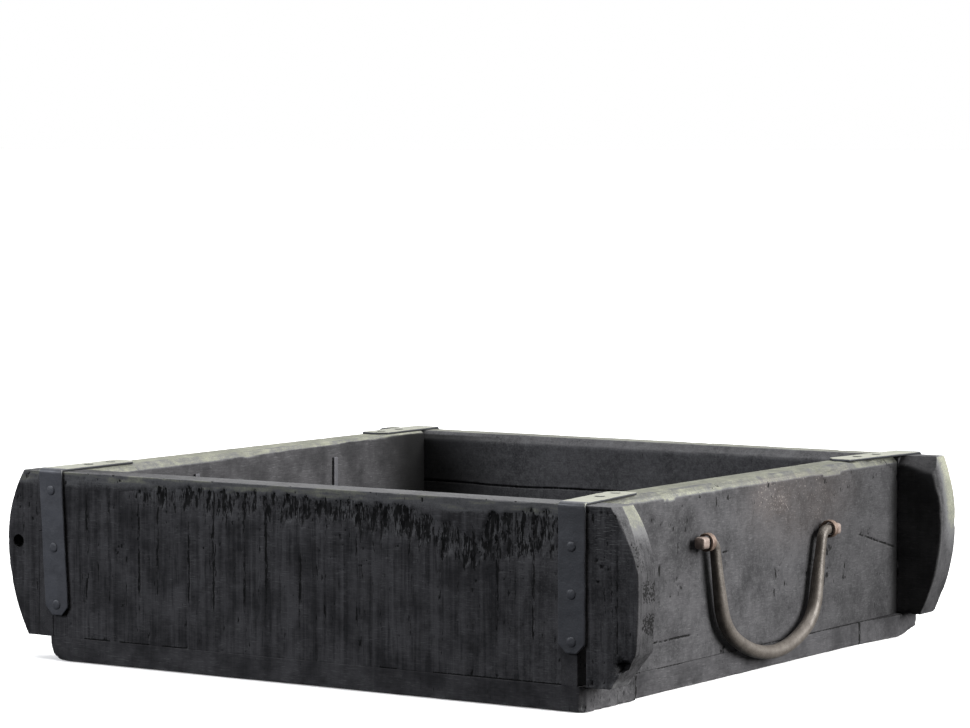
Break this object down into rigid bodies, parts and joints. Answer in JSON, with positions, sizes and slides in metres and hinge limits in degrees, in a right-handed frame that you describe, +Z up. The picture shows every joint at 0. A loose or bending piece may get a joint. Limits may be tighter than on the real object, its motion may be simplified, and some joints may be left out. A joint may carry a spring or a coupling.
{
  "type": "brick mould",
  "caption": "Low square wooden brick mould on a plank floor, its long walls running on as rounded ears, with iron corner straps and a forged bail handle hanging on each end wall.",
  "frame": {"origin": "on the surface the mould stands on, under the middle of its overall length and depth", "axes": "+X along the long walls towards the longest ear, +Y from the front wall to the back wall, +Z up out of the box"},
  "size_m": [0.4144, 0.3712, 0.1076],
  "materials": {
    "charcoal_wood": "worn charcoal paint over old sawn wood",
    "strap_iron": "satin blue-black painted flat iron",
    "nail_iron": "painted-over nail heads",
    "rusty_pin": "rust-brown worn iron",
    "worn_rod": "bare forged rod, dull grey-brown with worn bright edges"
  },
  "bodies": {
    "box": {"front_wall": "charcoal_wood", "back_wall": "charcoal_wood", "left_end_wall": "charcoal_wood", "right_end_wall": "charcoal_wood", "front_runner": "charcoal_wood", "back_runner": "charcoal_wood", "floor_board_1": "charcoal_wood", "floor_board_2": "charcoal_wood", "floor_board_3": "charcoal_wood", "floor_board_4": "charcoal_wood", "floor_board_5": "charcoal_wood", "strap_front_left": "strap_iron", "strap_front_right": "strap_iron", "strap_back_left": "strap_iron", "strap_back_right": "strap_iron", "nails_front_left": "nail_iron", "nails_front_right": "nail_iron", "nails_back_left": "nail_iron", "nails_back_right": "nail_iron", "runner_nails_group": "nail_iron", "board_nails_group": "nail_iron", "split_pin_left_front": "rusty_pin", "split_pin_left_back": "rusty_pin", "split_pin_right_front": "rusty_pin", "split_pin_right_back": "rusty_pin"},
    "handle_left": {"bail_left": "worn_rod"},
    "handle_right": {"bail_right": "worn_rod"}
  },
  "joints": [
    {"name": "left_bail_swing", "type": "hinge", "parent": "box", "child": "handle_left", "pos_m": [-0.18565, 0, 0.0733], "axis": [0, 1, 0], "range_deg": [-1, 182]},
    {"name": "right_bail_swing", "type": "hinge", "parent": "box", "child": "handle_right", "pos_m": [0.17715, 0.00399, 0.0733], "axis": [0, -0.9994, 0.0349], "range_deg": [-1, 182]}
  ]
}
